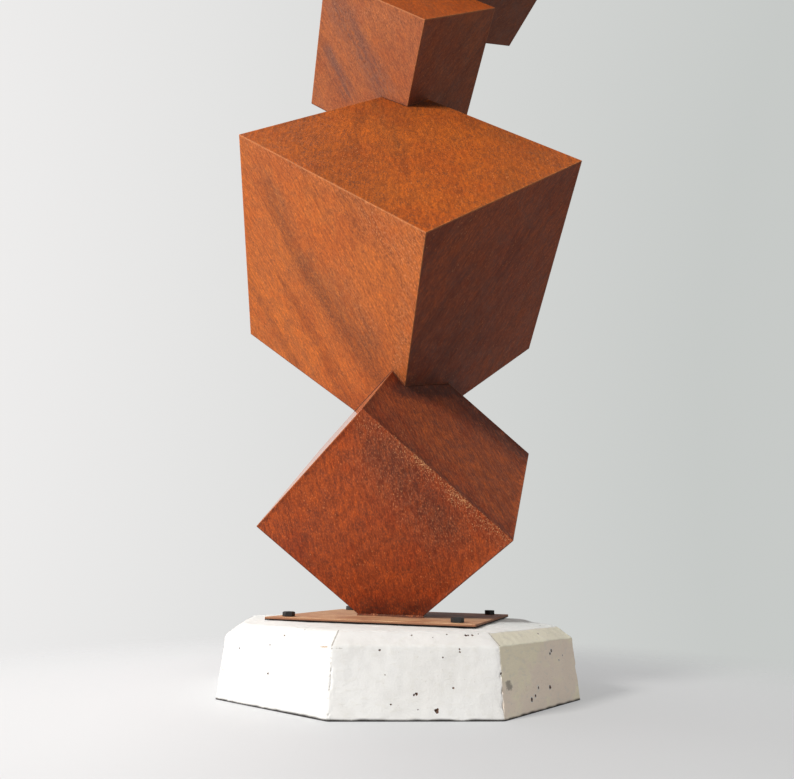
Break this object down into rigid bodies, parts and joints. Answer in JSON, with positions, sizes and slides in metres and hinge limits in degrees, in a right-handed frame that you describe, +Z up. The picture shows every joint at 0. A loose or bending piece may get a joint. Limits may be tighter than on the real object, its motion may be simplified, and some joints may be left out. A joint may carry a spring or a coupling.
{
  "type": "abstract sculpture",
  "caption": "Column of rusty steel cubes balanced on their corners, each let into the one below, standing on a square plate bolted to an octagonal plinth.",
  "frame": {"origin": "centre of the plinth's underside", "axes": "+Z up, -Y out of the plinth's front flat, +X to the right seen from the front"},
  "size_m": [0.6239, 0.5776, 1.6419],
  "materials": {
    "white_plaster": "matt white cast stone with pits and chips",
    "rusty_plate": "matt rust",
    "black_steel": "black, slightly glossy",
    "weathering_steel": "matt orange-brown rust with dark streaks"
  },
  "bodies": {
    "root": {"plinth": "white_plaster", "base_plate": "rusty_plate", "bolt_front_left": "black_steel", "bolt_front_right": "black_steel", "bolt_back_right": "black_steel", "bolt_back_left": "black_steel", "lower_cube": "weathering_steel", "large_cube": "weathering_steel", "small_cube": "weathering_steel", "top_cube": "weathering_steel"}
  },
  "joints": []
}
